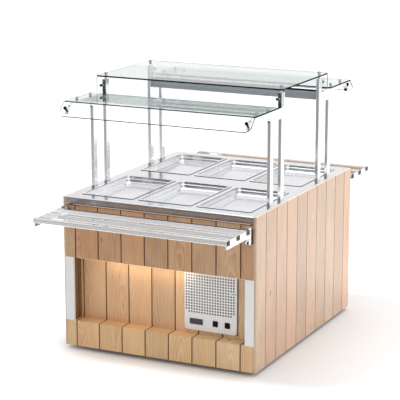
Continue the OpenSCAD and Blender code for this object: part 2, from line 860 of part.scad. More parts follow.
module tall_posts() {
  color("silver") both_sides() both_ends()
    translate([post_x, tall_out, counter_z]) post(tall_top - counter_z);
}

module short_posts() {
  color("silver") both_sides() both_ends()
    translate([post_x, short_out, counter_z]) post(short_h);
}

// Point beside the visor: s along the glass from its middle, n inwards
function beside_visor(s, n) =
  [visor_ym + s * cos(visor_a) - n * sin(visor_a),
   visor_zm - s * sin(visor_a) - n * cos(visor_a)];

// Side view of an arm, from the tall post to the nose behind the visor
module arm_outline() {
  nose0 = nose_gap + glass_t / 2;
  polygon([
    [arm_in, arm_z0], [arm_in, arm_z1], [stud_end + 52, arm_z1],
    beside_visor(-nose_len * 1.15, nose0), beside_visor(nose_len / 2 - 4, nose0),
    beside_visor(nose_len / 2, nose0 + 4), beside_visor(nose_len / 2, nose0 + nose_t - 4),
    beside_visor(nose_len / 2 - 4, nose0 + nose_t), beside_visor(-nose_len * 0.9, nose0 + nose_t),
    [stud_end + 24, arm_z1 - 12], [stud_end, arm_z1 - 14],
    [short_out + post_d / 2 + 20, arm_z1 - 31], [short_out + post_d / 2 + 8, arm_z1 - 38],
    [short_out + post_d / 2, arm_z0]
  ]);
}

// Folded arms, open underneath, with a solid nose that takes the visor's bolt
module guard_arms() {
  color("silver") both_sides() both_ends() difference() {
    slab(post_x - post_w / 2, post_x + post_w / 2) arm_outline();
    slab(post_x - post_w / 2 + arm_wall, post_x + post_w / 2 - arm_wall)
      polygon([[arm_in + arm_wall, arm_z0 - eps], [arm_in + arm_wall, arm_z1 - arm_wall],
               [stud_end + 20, arm_z1 - arm_wall], [stud_end + 20, arm_z0 - eps]]);
    visor_axis() translate([0, 0, -nose_gap - glass_t - nose_t - eps])
      cylinder(h = nose_t + nose_gap, d = bolt_d + 2 * play);
  }
}

// Places its children at the visor's fixing point, with +Z out of the glass
module visor_axis() {
  translate([post_x, visor_ym, visor_zm]) rotate([-visor_a, 0, 0]) children();
}

// Hole in a pane for a bolt
module glass_hole() { cylinder(h = 4 * glass_t, d = bolt_d + 2, center = true); }

module roof_glass() {
  color("lightcyan") difference() {
    translate([0, 0, roof_z]) linear_extrude(glass_t) rrect(2 * glass_x, 2 * upright_out, 4);
    both_sides() both_ends() translate([post_x, tall_out, roof_z]) glass_hole();
  }
}

module upright_glass() {
  color("lightcyan") both_sides() difference() {
    translate([-glass_x, upright_out - glass_t, upright_z]) cube([2 * glass_x, glass_t, upright_h]);
    both_ends() translate([post_x, upright_out, fix_z]) rotate([90, 0, 0]) glass_hole();
  }
}

module shelf_glass() {
  color("lightcyan") both_sides() difference() {
    translate([0, (shelf_in + shelf_end) / 2, shelf_z])
      linear_extrude(glass_t) rrect(2 * glass_x, shelf_end - shelf_in, 4);
    both_ends() for (y = [stud_in, stud_end]) translate([post_x, y, shelf_z]) glass_hole();
  }
}

// Sloped pane with round lower corners
module visor_glass() {
  color("lightcyan") both_sides() difference() {
    translate([0, visor_ym, visor_zm]) rotate([-visor_a, 0, 0])
      translate([0, 0, -glass_t / 2]) linear_extrude(glass_t) {
        translate([-glass_x, -visor_len / 2]) square([2 * glass_x, visor_len - visor_r]);
        translate([-glass_x + visor_r, -visor_len / 2]) square([2 * (glass_x - visor_r), visor_len]);
        for (s = [-1, 1])
          translate([s * (glass_x - visor_r), visor_len / 2 - visor_r]) circle(visor_r);
      }
    both_ends() visor_axis() glass_hole();
  }
}

// Folded steel boxes between the arms, open in a slot underneath
module light_boxes() {
  half = post_x - post_w / 2;
  t = 1.5;
  mid = arm_in + 2 + box_d / 2;
  z = arm_z1 - box_h / 2 - 1;
  color("gray") both_sides() slab(-half, half) difference() {
    translate([mid, z]) rrect(box_d, box_h, 5);
    translate([mid, z]) rrect(box_d - 2 * t, box_h - 2 * t, 3.5);
    translate([mid, z - box_h / 2]) square([box_d - 26, 4 * t], center = true);
  }
}

// Diffusers lying over the slots of the light boxes
module light_lenses() {
  half = post_x - post_w / 2 - 2;
  mid = arm_in + 2 + box_d / 2;
  z = arm_z1 - box_h - 1 + 1.5;
  color("white") both_sides() slab(-half, half)
    translate([mid, z + 1.5]) square([box_d - 16, 3], center = true);
}

// Steel stand-offs with their bolts and caps
module glass_studs() {
  color("silver") both_sides() both_ends() {
    translate([post_x, tall_out, tall_top]) stand_off(roof_gap, cap_h);
    for (y = [stud_in, stud_end]) translate([post_x, y, arm_z1]) stand_off(shelf_gap, cap_h);
    translate([post_x, arm_in + pad_t, fix_z]) rotate([-90, 0, 0])
      stand_off(upright_out - glass_t - arm_in - pad_t, 0);
    visor_axis() translate([0, 0, -nose_gap - glass_t / 2]) {
      stand_off(nose_gap, cap_h);
      translate([0, 0, -nose_t - 6]) cylinder(h = nose_t + 6 + eps, d = bolt_d);
      translate([0, 0, -nose_t]) mirror([0, 0, 1]) glass_cap(6);
    }
  }
}

// Spacer up to the pane, bolt through it, and a cap or a bolt end above it
module stand_off(gap, cap) {
  cylinder(h = gap, d = stud_d);
  cylinder(h = gap + glass_t + 6, d = bolt_d);
  if (cap > 0) translate([0, 0, gap + glass_t]) glass_cap(cap);
}

// Turned cap with a chamfered edge
module glass_cap(h) {
  cylinder(h = h - 1.5, d = cap_d);
  translate([0, 0, h - 1.5]) cylinder(h = 1.5, d1 = cap_d, d2 = cap_d - 3);
}

// Black knobs outside the upright panes, and the black pads behind them
module glass_knobs() {
  color("black") both_sides() both_ends() {
    translate([post_x, upright_out, fix_z]) rotate([-90, 0, 0]) knob(knob_d, knob_h);
    difference() {
      translate([post_x - post_w / 2, arm_in, arm_z1 + play])
        cube([post_w, pad_t, post_rise - play]);
      translate([post_x, arm_in, fix_z]) rotate([-90, 0, 0])
        cylinder(h = 3 * pad_t, d = stud_d - 4, center = true);
    }
  }
}

// Round knob with a chamfered edge and a blind hole for the bolt end
module knob(d, h) {
  difference() {
    union() {
      cylinder(h = h - 1.5, d = d);
      translate([0, 0, h - 1.5]) cylinder(h = 1.5, d1 = d, d2 = d - 3);
    }
    translate([0, 0, -eps]) cylinder(h = 6 + play + eps, d = bolt_d + 2 * play);
  }
}

// ---------------------------------------------------------------- tray slides

// Three tubes, drawn on the back side
module tray_rails() {
  color("silver") for (y = rails)
    translate([0, y, rail_z - rail_h / 2]) x_tube(2 * rail_x, rail_w, rail_h, rail_wall);
}

// Ribbed plugs in both ends of the rails
module rail_caps() {
  inner_w = rail_w - 2 * rail_wall - 2 * play;
  inner_h = rail_h - 2 * rail_wall - 2 * play;
  color("black") both_ends() for (y = rails)
    translate([rail_x, y, rail_z - rail_h / 2]) rotate([90, 0, 90]) {
      linear_extrude(cap_t) rrect(rail_w, rail_h, 3);
      translate([0, 0, -plug_len]) linear_extrude(plug_len + eps) difference() {
        rrect(inner_w, inner_h, 1);
        rrect(inner_w - 4, inner_h - 4, 1);
      }
    }
}

// Side view of a bracket: beam under the rails, notch round each rail, foot
// at the wall with a round hollow above it
module bracket_outline() {
  in_y = face + block_d + play;
  foot_y = hinge_out + knuckle_r;
  hollow = beam_z - bracket_low;
  difference() {
    polygon([[in_y, hinge_z], [hinge_out, bracket_low], [foot_y, bracket_low], [foot_y + hollow, beam_z],
             [tip_y - 3, beam_z], [tip_y, beam_z + 3], [tip_y, web_top],
             [rails[0] - rail_w / 2, web_top],
             [rails[0] - rail_w / 2 - 4, bracket_top], [in_y, bracket_top]]);
    translate([foot_y + hollow, bracket_low]) circle(hollow);
    for (y = rails)
      translate([y - rail_w / 2, rail_z - rail_h]) square([rail_w, rail_h + eps]);
  }
}

// Bracket with a flange at the wall and two lugs on the hinge pin
module tray_bracket() {
  in_y = face + block_d + play;
  x0 = bracket_x - flange_w;
  mid = x0 + flange_w / 2;
  difference() {
    union() {
      slab(bracket_x - bracket_t, bracket_x) bracket_outline();
      translate([x0, in_y, hinge_z]) cube([flange_w, bracket_t, bracket_top - hinge_z]);
      translate([x0, hinge_out, hinge_z]) rotate([0, 90, 0]) cylinder(h = flange_w, r = knuckle_r);
      translate([x0, in_y, hinge_z]) cube([flange_w, knuckle_r, knuckle_r]);
    }
    // Room for the block's knuckle between the lugs
    translate([mid - knuckle_w / 2 - play, in_y - eps, bracket_low - eps])
      cube([knuckle_w + 2 * play, 2 * knuckle_r + 3 * eps, 2 * knuckle_r + 2.5]);
    translate([x0 - eps, hinge_out, hinge_z]) rotate([0, 90, 0])
      cylinder(h = flange_w + 2 * eps, d = hinge_pin_d + 2 * run);
  }
}

module tray_brackets() { color("silver") both_ends() tray_bracket(); }

// Black hinge blocks on the planks, each with a knuckle and its pin
module tray_hinges() {
  x0 = bracket_x - block_w;
  mid = x0 + block_w / 2;
  color("black") both_sides() both_ends() {
    translate([x0, face, bracket_low - 2]) cube([block_w, block_d, bracket_h - 16]);
    slab(mid - knuckle_w / 2, mid + knuckle_w / 2) {
      translate([face + block_d - eps, bracket_low]) square([knuckle_r + play + eps, 2 * knuckle_r]);
      translate([hinge_out, hinge_z]) circle(knuckle_r - play);
    }
    translate([x0 - 2, hinge_out, hinge_z]) rotate([0, 90, 0])
      cylinder(h = block_w + 2, d = hinge_pin_d);
  }
}

module tray_rails_front() { mirror([0, 1, 0]) tray_rails(); }
module tray_rails_back() { tray_rails(); }
module rail_caps_front() { mirror([0, 1, 0]) rail_caps(); }
module rail_caps_back() { rail_caps(); }
module tray_brackets_front() { mirror([0, 1, 0]) tray_brackets(); }
module tray_brackets_back() { tray_brackets(); }

// ---------------------------------------------------------------- cooling

// Finned block with tube rows and return bends, on two legs
module condenser() {
  fin_pitch = cond_w / (fins - 1);
  tubes = 8;
  tube_pitch = cond_h / tubes;
  legs_z = tray_z + tray_t;
  color("lightsteelblue") translate([cond_x, -cond_y, 0]) {
    for (i = [0:fins - 1])
      translate([-cond_w / 2 + i * fin_pitch - 0.5, 0, cond_z]) cube([1, cond_d, cond_h]);
    for (r = [0:tubes - 1])
      translate([0, cond_d / 2, cond_z + (r + 0.5) * tube_pitch]) rotate([0, 90, 0])
        cylinder(h = cond_w + 8, d = 9.5, center = true);
    for (s = [-1, 1]) {
      translate([s * (cond_w / 2 + 2.5) - 1.5, 0, legs_z]) cube([3, cond_d, cond_z + cond_h - legs_z]);
      for (r = [0:2:tubes - 2])
        translate([s * (cond_w / 2 + 4), cond_d / 2, cond_z + (r + (s > 0 ? 1 : 2)) * tube_pitch])
          if (r < tubes - 2 || s > 0) return_bend(tube_pitch / 2, s);
      translate([s * (cond_w / 2 - 8) - 12, 0, legs_z]) cube([24, cond_d, 3]);
    }
  }
}

// Half ring that joins two tubes outside the end plate
module return_bend(r, s) {
  rotate([90, 0, 0]) rotate([0, 0, s > 0 ? -90 : 90])
    rotate_extrude(angle = 180) translate([r, 0]) circle(4.5, $fn = 24);
}

// Fan plate with a round shroud, motor on three arms, and its shaft
module fan_housing() {
  side = fan_d + 2 * plate_rim;
  ring_d = fan_d + 14;
  legs_z = tray_z + tray_t;
  leg_in = side / 2 - 30;
  color("dimgray") translate([cond_x, -fan_y, fan_z]) {
    difference() {
      union() {
        translate([-side / 2, 0, -side / 2]) cube([side, 3, side]);
        rotate([-90, 0, 0]) cylinder(h = shroud_d, d = ring_d, $fn = 64);
      }
      translate([0, -eps, 0]) rotate([-90, 0, 0])
        cylinder(h = shroud_d + 2 * eps, d = fan_d + 8, $fn = 64);
    }
    for (a = [90, 210, 330])
      rotate([0, a, 0]) translate([-4, shroud_d - 2, 20]) cube([8, 6, ring_d / 2 - 22]);
    translate([0, shroud_d, 0]) rotate([-90, 0, 0]) cylinder(h = 46, d = 62);
    translate([0, shroud_d - 20, 0]) rotate([-90, 0, 0]) cylinder(h = 24, d = shaft_d);
    for (x = [-leg_in - 12, leg_in])
      translate([x, 0, legs_z - fan_z]) cube([12, 3, fan_z - legs_z - side / 2 + eps]);
  }
}

// Hub with five pitched blades
module fan_blades() {
  hub_d = 34;
  blade_w = 44;
  tip_gap = 5;
  color("slategray") translate([cond_x, -fan_y, fan_z]) difference() {
    union() {
      translate([0, 5, 0]) rotate([-90, 0, 0]) cylinder(h = shroud_d - 9, d = hub_d);
      intersection() {
        translate([0, 3, 0]) rotate([-90, 0, 0]) cylinder(h = shroud_d - tip_gap - 2, d = fan_d);
        for (a = [0:72:288]) rotate([0, a, 0]) translate([0, shroud_d / 2, hub_d / 2 - 4])
          rotate([0, 0, 24]) translate([-blade_w / 2, -1, 0]) cube([blade_w, 2, fan_d / 2]);
      }
    }
    translate([0, 4, 0]) rotate([-90, 0, 0]) cylinder(h = shroud_d + eps, d = shaft_d + 2 * run);
  }
}

// Hermetic compressor: welded shell, feet, terminal box and pipe stubs
module compressor() {
  r = comp_d / 2;
  color("black") translate([comp_x, comp_y, tray_z + tray_t]) {
    translate([0, 0, 12]) rotate_extrude($fn = 64)
      polygon(concat([[0, 0], [r - 22, 0], [r - 8, 8], [r, 24], [r, comp_h - 40]],
                     [for (a = [15:15:75]) [r - 34 + 34 * cos(a), comp_h - 40 + 40 * sin(a)]],
                     [[r - 34, comp_h], [0, comp_h]]));
    for (a = [45:90:315]) rotate([0, 0, a]) difference() {
      union() {
        translate([r - 30, -13, 12]) cube([42, 26, 3]);
        translate([r + 2, 0, 0]) cylinder(h = 13, d = 20);
      }
      translate([r + 2, 0, -eps]) cylinder(h = 20, d = 8);
    }
    translate([r - 6, -22, 0.39 * comp_h]) cube([34, 44, 0.3 * comp_h]);
    for (a = [100, 140]) rotate([0, 0, a]) translate([r - 5, 0, 0.61 * comp_h]) rotate([0, 90, 0])
      cylinder(h = 34, d = 10);
  }
}

// ---------------------------------------------------------------- castors

// Top plate with the swivel pin and its head
module castor_plates() {
  color("silver") for (c = castors) translate([c[0], c[1], frame_z - plate_t]) {
    linear_extrude(plate_t) difference() {
      rrect(plate_s, plate_s, 8);
      for (x = [-1, 1], y = [-1, 1]) translate([x * 30, y * 30]) circle(d = 9);
    }
    translate([0, 0, -play - fork_cap - play - 3]) cylinder(h = fork_cap + 3 + 2 * play + eps, d = swivel_d);
    translate([0, 0, -play - fork_cap - play - 3]) cylinder(h = 3, d = swivel_d + 6);
  }
}

// Swivelling fork: round cap with the swivel bore, two ears and the axle bolt
module castor_fork(c) {
  ear_r = 13;
  axle_z = wheel_d / 2;
  cap_r = 27;
  color("silver") translate([c[0], c[1], 0]) {
    difference() {
      union() {
        translate([0, 0, fork_top - fork_cap]) cylinder(h = fork_cap, r = cap_r);
        for (s = [-1, 1])
          slab(s > 0 ? fork_gap / 2 : -fork_gap / 2 - fork_t, s > 0 ? fork_gap / 2 + fork_t : -fork_gap / 2) {
            polygon([[-16, fork_top - 1], [20, fork_top - 1], [trail + ear_r - 1, axle_z + 4],
                     [trail, axle_z], [trail - ear_r + 1, axle_z - 4]]);
            translate([trail, axle_z]) circle(ear_r);
          }
      }
      translate([0, 0, fork_top - fork_cap - eps]) cylinder(h = fork_cap + 2 * eps, d = swivel_d + 2 * run);
      // Wheel room between the ears, under the cap
      translate([-fork_gap / 2, -40, 0]) cube([fork_gap, 100, fork_top - fork_cap]);
      translate([0, -brake_back, brake_z]) rotate([0, 90, 0])
        cylinder(h = 60, d = brake_pin_d + 2 * run, center = true);
    }
    translate([0, trail, axle_z]) rotate([0, 90, 0])
      cylinder(h = fork_gap + 2 * fork_t + 2 * eps, d = axle_d, center = true);
    for (s = [-1, 1])
      translate([s * (fork_gap / 2 + fork_t + 2.5), trail, axle_z]) rotate([0, 90, 0])
        cylinder(h = 5, d = axle_d + 5, center = true, $fn = 6);
  }
}
// Pin of the brake pedal: in front of the swivel axis, high in the ears
brake_back = 8;
brake_z = frame_z - 24;
brake_pin_d = 5;

// Wheel with a tread, a recessed disc and a hub on each side
module castor_wheel(c) {
  r = wheel_d / 2;
  w = wheel_w / 2;
  color("dimgray") translate([c[0], c[1] + trail, r]) rotate([0, 90, 0]) rotate_extrude($fn = 96)
    polygon([[axle_d / 2 + run, -w - 1.5], [9, -w - 1.5], [10, -w + 5], [r - 13, -w + 5],
             [r - 11, -w], [r - 3, -w], [r, -w + 4], [r, w - 4], [r - 3, w], [r - 11, w],
             [r - 13, w - 5], [10, w - 5], [9, w + 1.5], [axle_d / 2 + run, w + 1.5]]);
}

// Foot lever of a braked castor: a pin in the ears, a toe pad, and a shoe that
// swings against the tread when the pad goes down
module brake_pedal(c) {
  inner = fork_gap - 2 * play;
  color("firebrick") translate([c[0], c[1], 0]) {
    translate([0, -brake_back, brake_z]) rotate([0, 90, 0])
      cylinder(h = fork_gap + 2 * fork_t, d = brake_pin_d, center = true);
    translate([0, -brake_back, brake_z]) slab(-inner / 2, inner / 2)
      polygon([[-4, -15], [4, -15], [5, -4], [5, 3.5], [-5, 3.5], [-32, -8], [-44, -10],
               [-44, -14], [-30, -13], [-6, -5]]);
  }
}

module castor_fork_fl() { castor_fork(castors[0]); }
module castor_fork_fr() { castor_fork(castors[1]); }
module castor_fork_bl() { castor_fork(castors[2]); }
module castor_fork_br() { castor_fork(castors[3]); }
module castor_wheel_fl() { castor_wheel(castors[0]); }
module castor_wheel_fr() { castor_wheel(castors[1]); }
module castor_wheel_bl() { castor_wheel(castors[2]); }
module castor_wheel_br() { castor_wheel(castors[3]); }
module brake_pedal_left() { brake_pedal(castors[0]); }
module brake_pedal_right() { brake_pedal(castors[1]); }

base_frame();
machine_tray();
side_panel_left();
side_panel_right();
front_fascia();
front_plinth();
recess_wall();
recess_cheeks();
corner_profiles();
panel_screws();
back_panel();
recess_lamp();
grille_panel();
thermostat();
switch_frames();
light_rocker();
power_rocker();
counter_top();
well_tub();
well_foam();
pan_front_left();
pan_front_middle();
pan_front_right();
pan_back_left();
pan_back_middle();
pan_back_right();
tall_posts();
short_posts();
guard_arms();
roof_glass();
upright_glass();
shelf_glass();
visor_glass();
light_boxes();
light_lenses();
glass_studs();
glass_knobs();
tray_rails_front();
tray_rails_back();
tray_brackets_front();
tray_brackets_back();
rail_caps_front();
rail_caps_back();
tray_hinges();
compressor();
condenser();
fan_housing();
fan_blades();
castor_plates();
castor_fork_fl();
castor_fork_fr();
castor_fork_bl();
castor_fork_br();
castor_wheel_fl();
castor_wheel_fr();
castor_wheel_bl();
castor_wheel_br();
brake_pedal_left();
brake_pedal_right();
cable_gland();
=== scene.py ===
"""Looks of a mobile refrigerated salad bar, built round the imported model.

X runs along the control side, Y through the depth and Z up, in metres. The two
serving sides mirror each other, so most sections dress both at once.
"""
import math

import bmesh
import bpy
from mathutils import Matrix, Vector


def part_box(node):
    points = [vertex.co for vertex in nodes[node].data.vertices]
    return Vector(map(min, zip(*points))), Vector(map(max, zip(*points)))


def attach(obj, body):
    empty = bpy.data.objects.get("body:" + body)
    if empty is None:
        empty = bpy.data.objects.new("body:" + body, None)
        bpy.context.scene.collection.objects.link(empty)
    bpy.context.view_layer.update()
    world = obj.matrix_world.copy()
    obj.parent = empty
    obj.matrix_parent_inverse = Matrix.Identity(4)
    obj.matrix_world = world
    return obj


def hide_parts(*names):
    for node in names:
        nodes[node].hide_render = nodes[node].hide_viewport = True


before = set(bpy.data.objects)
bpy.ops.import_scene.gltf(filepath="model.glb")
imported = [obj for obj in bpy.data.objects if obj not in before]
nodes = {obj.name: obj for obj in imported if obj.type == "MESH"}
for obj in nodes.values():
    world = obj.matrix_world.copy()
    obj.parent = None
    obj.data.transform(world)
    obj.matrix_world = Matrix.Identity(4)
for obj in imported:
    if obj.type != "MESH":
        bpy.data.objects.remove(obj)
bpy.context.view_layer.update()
scene = bpy.context.scene
scene.view_settings.view_transform = "Standard"

# ---------------------------------------------------------------- camera
# The photograph looks down a little on the right-hand front corner. Distance,
# lens and target were fitted to the counter's corners and the pans.
view_azimuth = math.radians(25.83)
view_elevation = math.radians(13.10)
view_distance = 9.333
view_target = Vector((-0.088, 0.042, 0.755))
camera = bpy.data.objects.new("camera", bpy.data.cameras.new("camera"))
scene.collection.objects.link(camera)
scene.camera = camera
towards_camera = Vector((
    math.sin(view_azimuth) * math.cos(view_elevation),
    -math.cos(view_azimuth) * math.cos(view_elevation),
    math.sin(view_elevation)))
camera.location = view_target + towards_camera * view_distance
camera.rotation_mode = "QUATERNION"
camera.rotation_quaternion = (-towards_camera).to_track_quat("-Z", "Y")
camera.data.sensor_width = 36.0
camera.data.lens = 144.93
camera.data.shift_x = -0.0048
camera.data.shift_y = -0.0030
camera.data.clip_end = 100.0

# ---------------------------------------------------------------- studio
# A white sweep and a white sky, so nothing but the object has a tone. The sky
# is plain white to the lens and through glass, a little softer in reflections
# and softer still as a light.
sky_light = 0.62
sky_gloss = 0.92


def linear(code):
    """The linear colour that shaders take, from an sRGB hex code."""
    parts = [int(code[i:i + 2], 16) / 255 for i in (1, 3, 5)]
    straight = [v / 12.92 if v <= 0.04045 else ((v + 0.055) / 1.055) ** 2.4 for v in parts]
    return (*straight, 1.0)


def fill(tree, node, **inputs):
    """Links or sets a node's inputs.

    An input is named as on the node with _ for a space, or i and its number.
    """
    for name, value in inputs.items():
        numbered = name[0] == "i" and name[1:].isdigit()
        socket = node.inputs[int(name[1:]) if numbered else name.replace("_", " ")]
        if isinstance(value, bpy.types.NodeSocket):
            tree.links.new(value, socket)
        else:
            socket.default_value = value


def add(tree, kind, settings=None, **inputs):
    """Adds a node with its properties and inputs."""
    made = tree.nodes.new("ShaderNode" + kind)
    for name, value in (settings or {}).items():
        setattr(made, name, value)
    fill(tree, made, **inputs)
    return made


def calc(tree, how, first, second=0.0):
    """One step of arithmetic on two values or sockets."""
    return add(tree, "Math", {"operation": how}, i0=first, i1=second).outputs[0]


def calc_vector(tree, how, first, second=(0.0, 0.0, 0.0)):
    """One step of arithmetic on two vectors or sockets."""
    return add(tree, "VectorMath", {"operation": how}, i0=first, i1=second).outputs[0]


def spread(tree, value, low, high, bottom=0.0, top=1.0):
    """The value with low to high stretched to bottom to top, and clamped."""
    return add(tree, "MapRange", {"clamp": True}, Value=value, From_Min=low, From_Max=high,
               To_Min=bottom, To_Max=top).outputs[0]


def coords(tree, kind="Object"):
    """Where the shaded point lies; with the kind Normal, which way it faces."""
    return add(tree, "TexCoord").outputs[kind]


def along_axis(tree, vector, axis):
    """The X, Y or Z of a vector."""
    return add(tree, "SeparateXYZ", Vector=vector).outputs[axis]


def seen_by(tree, *kinds):
    """1 for a ray of one of these kinds, else 0."""
    ray = add(tree, "LightPath")
    share = ray.outputs[f"Is {kinds[0]} Ray"]
    for kind in kinds[1:]:
        share = calc(tree, "MAXIMUM", share, ray.outputs[f"Is {kind} Ray"])
    return share


world = bpy.data.worlds.new("white_sky")
scene.world = world
world.use_nodes = True
sky = world.node_tree
sky.nodes.clear()
unseen = spread(sky, seen_by(sky, "Glossy"), 0.0, 1.0, sky_light, sky_gloss)
strength = spread(sky, seen_by(sky, "Camera", "Transmission"), 0.0, 1.0, unseen, 1.0)
glow = add(sky, "Background", Color=linear("#FFFFFF"), Strength=strength)
add(sky, "OutputWorld", Surface=glow.outputs[0])


def mesh_piece(name, mesh_maker):
    """A new object whose mesh is filled by mesh_maker, a function of a bmesh."""
    mesh = bpy.data.meshes.new(name)
    shape = bmesh.new()
    mesh_maker(shape)
    bmesh.ops.recalc_face_normals(shape, faces=shape.faces)
    shape.to_mesh(mesh)
    shape.free()
    piece = bpy.data.objects.new(name, mesh)
    scene.collection.objects.link(piece)
    return piece


def material(name):
    """A new node material, with its tree and its Principled shader."""
    made = bpy.data.materials.new(name)
    made.use_nodes = True
    return made, made.node_tree, made.node_tree.nodes["Principled BSDF"]


# Past the object the sweep fades to pure white; the soft shadow on its right
# stays. The fade follows a rounded box whose left and front sides meet the
# cabinet's, and whose right side lies half a metre away.
floor_half = 30.0
grey_middle = (0.24, 0.14, 0.0)
grey_half = (0.82, 0.83, 1.0)
grey_roundness = 6.0
fade_start, fade_end = 1.0, 1.3
near_glow, far_glow = 0.04, 0.55
floor = mesh_piece("floor", lambda shape: bmesh.ops.create_grid(shape, size=floor_half))
sweep, tree, shader = material("white_sweep")
apart = calc_vector(tree, "SUBTRACT", coords(tree), grey_middle)
apart = calc_vector(tree, "ABSOLUTE", calc_vector(tree, "DIVIDE", apart, grey_half))
powers = [calc(tree, "POWER", along_axis(tree, apart, axis), grey_roundness) for axis in "XY"]
away = calc(tree, "POWER", calc(tree, "ADD", *powers), 1 / grey_roundness)
fade = add(tree, "MapRange", {"interpolation_type": "SMOOTHSTEP"}, Value=away,
           From_Min=fade_start, From_Max=fade_end, To_Min=near_glow, To_Max=far_glow).outputs[0]
seen = seen_by(tree, "Camera", "Glossy", "Transmission")
fill(tree, shader, Base_Color=linear("#F2F2F2"), Roughness=0.6,
     Emission_Color=linear("#FFFFFF"), Emission_Strength=calc(tree, "MULTIPLY", seen, fade))
floor.data.materials.append(sweep)


def lamp(name, place, aim, size, power, colour="#FFFFFF"):
    """A flat area lamp at place, turned to aim."""
    light = bpy.data.lights.new(name, "AREA")
    light.shape = "RECTANGLE"
    light.size, light.size_y = size
    light.energy = power
    light.color = linear(colour)[:3]
    made = bpy.data.objects.new(name, light)
    scene.collection.objects.link(made)
    made.location = place
    made.rotation_euler = (Vector(aim) - Vector(place)).to_track_quat("-Z", "Y").to_euler()
    return made


# The key stands to the right and lights the long plank side; the top lamp
# brightens the counter. Both are kept out of reflections.
studio_aim = (0.0, 0.0, 0.7)
for name, place, size, power in (
        ("key_lamp", (6.0, 0.8, 2.6), (4.0, 4.0), 95.0),
        ("top_lamp", (0.3, 0.9, 6.0), (5.0, 5.0), 180.0)):
    lamp(name, place, studio_aim, size, power).visible_glossy = False


def card(name, place, turn, half, corners):
    """A flat screen that only gloss sees, turned about X and then Z, in degrees.

    The four corners give how bright it is: low left, low right, top left, top right.
    """
    made = mesh_piece(name, lambda shape: bmesh.ops.create_grid(
        shape, size=1.0, matrix=Matrix.Diagonal((half[0], half[1], 1.0, 1.0))))
    made.location = place
    made.rotation_euler = (math.radians(turn[0]), 0.0, math.radians(turn[1]))
    felt, tree, shader = material(name + "_felt")
    spot = coords(tree)
    rows = [spread(tree, along_axis(tree, spot, "X"), -half[0], half[0], left, right)
            for left, right in (corners[:2], corners[2:])]
    shade = spread(tree, along_axis(tree, spot, "Y"), -half[1], half[1], *rows)
    fill(tree, shader, Base_Color=linear("#101010"), Roughness=0.9,
         Emission_Color=linear("#FFFFFF"), Emission_Strength=shade)
    made.data.materials.append(felt)
    for ray in ("camera", "diffuse", "shadow", "transmission"):
        setattr(made, "visible_" + ray, False)


# The front card gives the posts and rails their grey faces. The back card is
# what the panes and light boxes mirror; the counter looks past it at white.
# The side cards and the ceiling card shade the steel where it is seen from the
# ends and from above. Their greys were set by the tones of the photograph.
card("front_card", (-1.6, -3.4, 1.05), (90, 0), (2.6, 1.3), (0.62, 0.30, 0.10, 0.05))
card("back_card", (-1.7, 3.5, 3.03), (90, 0), (2.3, 0.97), (0.74, 0.58, 0.70, 0.54))
card("left_card", (-4.2, 0.0, 1.3), (90, 90), (2.0, 1.3), (0.55, 0.55, 0.30, 0.30))
card("right_card", (4.2, 0.0, 1.3), (90, 90), (2.0, 1.3), (0.55, 0.55, 0.30, 0.30))
card("ceiling_card", (0.0, 0.0, 4.6), (0, 0), (2.4, 2.4), (0.75, 0.60, 0.60, 0.45))

# ---------------------------------------------------------------- planks
# The cabinet is clad in lacquered oak boards, tongued into each other with a
# V joint. Each board has its own tone; the grain runs upright.
plank_pitch = 0.1432
joint_half = 0.0034
ring_pitch = 0.0095
knot_cell = (0.11, 0.11, 0.17)
knot_cells_kept = (0.84, 0.86)
grain_shift = 40.0
most_lean = 0.16
# How far the first joint lies in from a side's edge
first_joint_x = 0.0765
first_joint_y = 0.131
last_cheek_joint = 0.0301
# Boards are counted from ten boards outside, so that none has a number below 0
before = 10 * plank_pitch
front_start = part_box("side_panel_left")[0].x + first_joint_x - before
side_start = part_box("side_panel_right")[0].y + first_joint_y - before
cheek_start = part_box("recess_cheeks")[1].y - last_cheek_joint - before


# Nearly all of a noise lies between these values
noise_band = (0.3, 0.7)


def cells(tree, place, size, detail=3.0, offset=None):
    """Noise whose cells measure size in metres: one length, or X, Y and Z."""
    sides = (size,) * 3 if isinstance(size, float) else size
    moved = calc_vector(tree, "DIVIDE", place, sides)
    if offset is not None:
        moved = calc_vector(tree, "ADD", moved, offset)
    return add(tree, "TexNoise", Vector=moved, Scale=1.0, Detail=detail,
               Roughness=0.6).outputs["Fac"]


def blend(tree, share, first, second):
    """The colour between first and second; each is a hex code or a socket."""
    first, second = (linear(colour) if isinstance(colour, str) else colour
                     for colour in (first, second))
    return add(tree, "Mix", {"data_type": "RGBA"}, i0=share, i6=first, i7=second).outputs[2]


def total(tree, *shares, start=None):
    """The sum of values, each times its weight, on top of start."""
    for value, weight in shares:
        share = calc(tree, "MULTIPLY", value, weight)
        start = share if start is None else calc(tree, "ADD", start, share)
    return start


def bump(tree, strength, depth, height):
    """The normal that a relief of this height gives, at most depth metres deep."""
    return add(tree, "Bump", Strength=strength, Distance=depth, Height=height).outputs[0]


